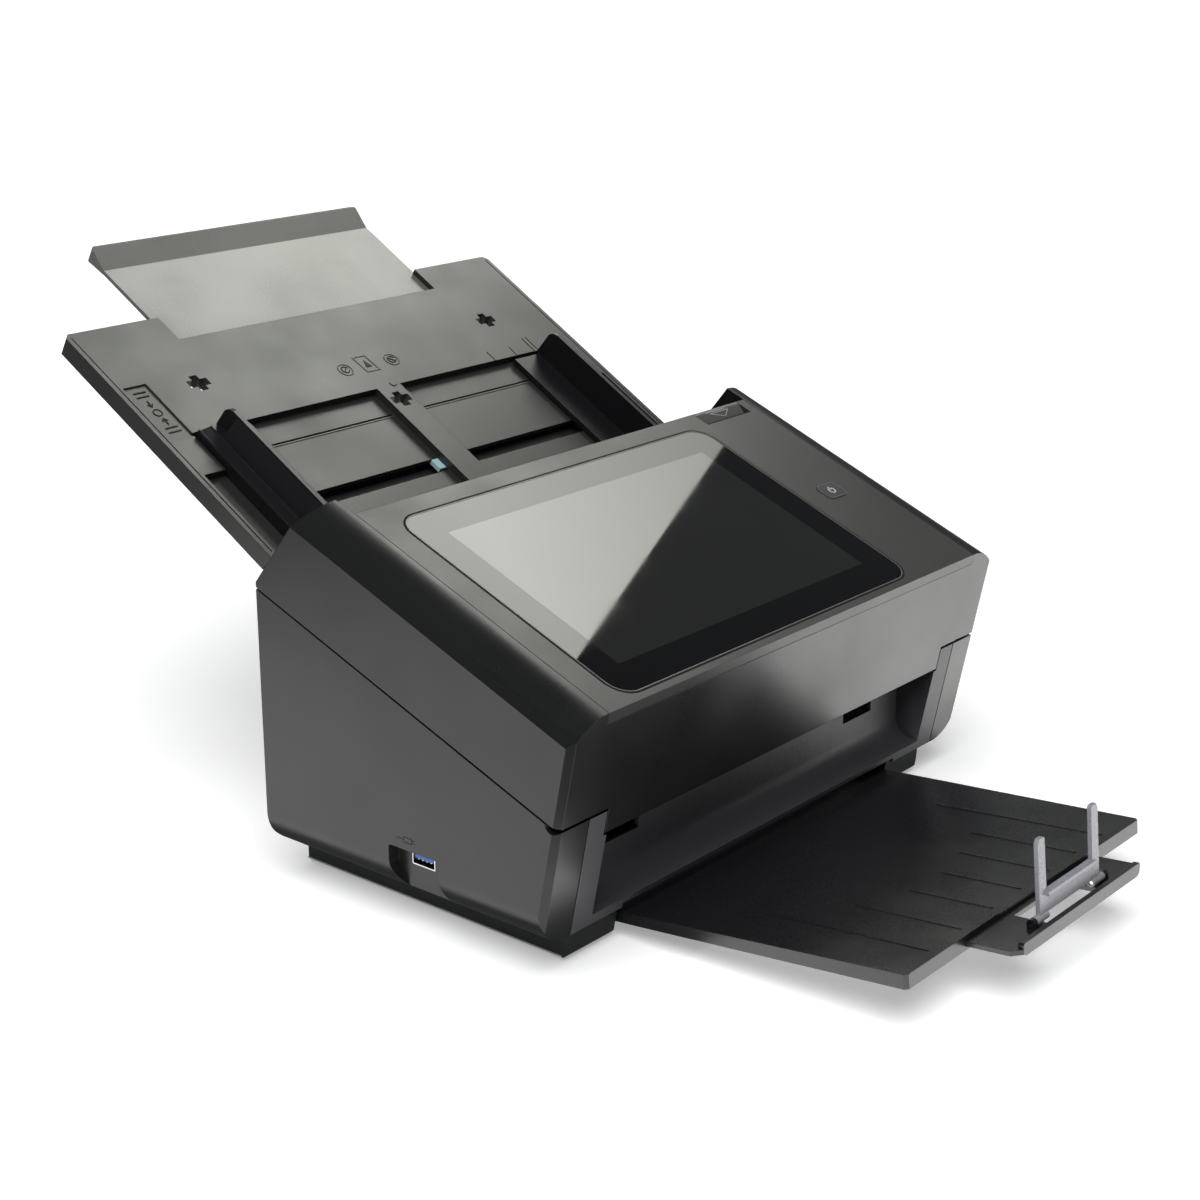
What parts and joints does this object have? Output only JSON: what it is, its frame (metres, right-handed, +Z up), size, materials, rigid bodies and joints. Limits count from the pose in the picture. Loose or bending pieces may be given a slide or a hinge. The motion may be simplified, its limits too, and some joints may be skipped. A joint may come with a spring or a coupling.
{
  "type": "sheet fed document scanner",
  "caption": "Desktop sheet fed document scanner with a touch screen in its opening cover, a sloping input tray with coupled paper guides and a pull-out output tray with a folding stopper.",
  "frame": {"origin": "middle of the whole footprint, trays included, on the surface it stands on", "axes": "+X to the right seen from the front, +Y to the rear, +Z up; the touch screen and the output tray are on the -Y side"},
  "size_m": [0.316, 0.5113, 0.2557],
  "materials": {
    "shell_plastic": "fine textured satin",
    "panel_plastic": "fine textured satin",
    "chute_plastic": "textured satin",
    "tray_plastic": "satin",
    "extension_plastic": "satin",
    "guide_plastic": "satin",
    "stacker_plastic": "satin",
    "smoky_plastic": "translucent, glossy",
    "button_plastic": "satin",
    "screen": "mirror gloss",
    "clear_glass": "clear",
    "black_plastic": "satin",
    "gear_plastic": "smooth",
    "latch_plastic": "satin",
    "roller_rubber": "matt",
    "pinch_plastic": "smooth",
    "foot_rubber": "matt",
    "steel": "plated",
    "shaft_steel": "ground",
    "bush_bronze": "sintered",
    "motor_metal": "satin",
    "port_metal": "plated",
    "board": "solder mask",
    "chips": "satin"
  },
  "bodies": {
    "base": {"base_plinth": "stacker_plastic", "rubber_feet": "foot_rubber", "chassis": "steel", "left_side_cover": "shell_plastic", "right_side_cover": "shell_plastic", "output_chute": "chute_plastic", "rear_cover": "shell_plastic", "feed_deck": "chute_plastic", "lower_image_sensor": "black_plastic", "lower_sensor_glass": "clear_glass", "main_board": "board", "board_components": "chips", "drive_motor": "motor_metal", "shaft_bushes": "bush_bronze", "timing_belt": "black_plastic", "usb_port": "port_metal", "network_port": "port_metal", "usb_device_port": "port_metal", "power_inlet": "black_plastic", "chassis_screws": "steel"},
    "feed_drive": {"feed_shaft": "shaft_steel", "feed_rollers": "roller_rubber", "feed_gear": "gear_plastic", "feed_pulley": "gear_plastic"},
    "pick_drive": {"pick_shaft": "shaft_steel", "pick_rollers": "roller_rubber", "pick_gear": "gear_plastic"},
    "exit_drive": {"exit_shaft": "shaft_steel", "exit_rollers": "roller_rubber", "exit_pulley": "gear_plastic"},
    "idler": {"idler_gear": "gear_plastic"},
    "motor_rotor": {"motor_pinion": "bush_bronze"},
    "cover": {"cover_shell": "shell_plastic", "top_panel": "panel_plastic", "screen_glass": "screen", "display_module": "black_plastic", "control_board": "board", "cover_frame": "chute_plastic", "upper_image_sensor": "black_plastic", "upper_sensor_glass": "clear_glass", "hinge_pins": "shaft_steel"},
    "latch": {"release_lever": "panel_plastic", "latch_shaft": "shaft_steel", "latch_hooks": "steel"},
    "button": {"power_button": "button_plastic"},
    "brake": {"brake_roller": "roller_rubber"},
    "feed_pinch": {"feed_pinch_roller": "pinch_plastic"},
    "exit_pinch": {"exit_pinch_roller": "pinch_plastic"},
    "tray": {"input_tray": "tray_plastic", "tray_bottom_cover": "tray_plastic", "slot_latch": "latch_plastic"},
    "tray_extension": {"input_extension": "extension_plastic"},
    "left_guide": {"left_paper_guide": "guide_plastic"},
    "right_guide": {"right_paper_guide": "guide_plastic"},
    "pinion": {"guide_pinion": "gear_plastic"},
    "stacker": {"output_tray": "stacker_plastic"},
    "stacker_extension": {"output_extension": "stacker_plastic", "stopper_pins": "shaft_steel"},
    "stop": {"stopper": "smoky_plastic"}
  },
  "joints": [
    {"name": "feed_spin", "type": "hinge", "parent": "base", "child": "feed_drive", "pos_m": [0, -0.01934, 0.08162], "axis": [1, 0, 0], "continuous": true},
    {"name": "pick_spin", "type": "hinge", "parent": "base", "child": "pick_drive", "pos_m": [0, 0.0203, 0.10497], "axis": [1, 0, 0], "continuous": true},
    {"name": "exit_spin", "type": "hinge", "parent": "base", "child": "exit_drive", "pos_m": [0, -0.06688, 0.05593], "axis": [1, 0, 0], "continuous": true},
    {"name": "idler_spin", "type": "hinge", "parent": "base", "child": "idler", "pos_m": [0, -0.00211, 0.09177], "axis": [1, 0, 0], "continuous": true},
    {"name": "motor_spin", "type": "hinge", "parent": "base", "child": "motor_rotor", "pos_m": [0, -0.0102, 0.06611], "axis": [1, 0, 0], "continuous": true},
    {"name": "cover_hinge", "type": "hinge", "parent": "base", "child": "cover", "pos_m": [0, -0.1036, 0.0739], "axis": [1, 0, 0], "range_deg": [0, 70]},
    {"name": "latch_turn", "type": "hinge", "parent": "cover", "child": "latch", "pos_m": [0, 0.01425, 0.15475], "axis": [1, 0, 0], "range_deg": [0, 12], "stiffness_Nm_per_rad": 0.6, "springref_deg": -11.46},
    {"name": "button_press", "type": "slide", "parent": "cover", "child": "button", "axis": [0, 0.3706, -0.9288], "range_m": [0, 0.001], "stiffness_N_per_m": 300, "springref_m": -0.001},
    {"name": "brake_spin", "type": "hinge", "parent": "cover", "child": "brake", "pos_m": [0, 0.00959, 0.12315], "axis": [1, 0, 0], "continuous": true},
    {"name": "feed_pinch_spin", "type": "hinge", "parent": "cover", "child": "feed_pinch", "pos_m": [0, -0.02903, 0.09808], "axis": [1, 0, 0], "continuous": true},
    {"name": "exit_pinch_spin", "type": "hinge", "parent": "cover", "child": "exit_pinch", "pos_m": [0, -0.07505, 0.06981], "axis": [1, 0, 0], "continuous": true},
    {"name": "tray_lift_off", "type": "slide", "parent": "base", "child": "tray", "axis": [0, 0.8616, 0.5075], "range_m": [0, 0.045]},
    {"name": "extension_slide", "type": "slide", "parent": "tray", "child": "tray_extension", "axis": [0, 0.8616, 0.5075], "range_m": [-0.042, 0]},
    {"name": "left_guide_slide", "type": "slide", "parent": "tray", "child": "left_guide", "axis": [1, 0, 0], "range_m": [0, 0.08]},
    {"name": "right_guide_slide", "type": "slide", "parent": "tray", "child": "right_guide", "axis": [-1, 0, 0], "range_m": [0, 0.08]},
    {"name": "pinion_turn", "type": "hinge", "parent": "tray", "child": "pinion", "pos_m": [0, 0.09817, 0.15304], "axis": [0, -0.5075, 0.8616], "range_deg": [-960, 0]},
    {"name": "stacker_slide", "type": "slide", "parent": "base", "child": "stacker", "axis": [0, -0.9986, 0.0523], "range_m": [-0.085, 0]},
    {"name": "stacker_extension_slide", "type": "slide", "parent": "stacker", "child": "stacker_extension", "axis": [0, -0.9945, 0.1045], "range_m": [-0.0115, 0.055]},
    {"name": "stopper_fold", "type": "hinge", "parent": "stacker_extension", "child": "stop", "pos_m": [0, -0.24694, 0.02839], "axis": [-1, 0, 0], "range_deg": [0, 80]}
  ],
  "couplings": [
    {"joint": "pick_spin", "follows": "feed_spin", "ratio": 0.66667},
    {"joint": "exit_spin", "follows": "feed_spin", "ratio": 1.2222},
    {"joint": "idler_spin", "follows": "feed_spin", "ratio": -1.5},
    {"joint": "motor_spin", "follows": "feed_spin", "ratio": -2},
    {"joint": "brake_spin", "follows": "feed_spin", "ratio": -0.73333},
    {"joint": "feed_pinch_spin", "follows": "feed_spin", "ratio": -1.375},
    {"joint": "exit_pinch_spin", "follows": "feed_spin", "ratio": -1.5714},
    {"joint": "right_guide_slide", "follows": "left_guide_slide", "ratio": 1},
    {"joint": "pinion_turn", "follows": "left_guide_slide", "rad_per_m": -208.33}
  ]
}
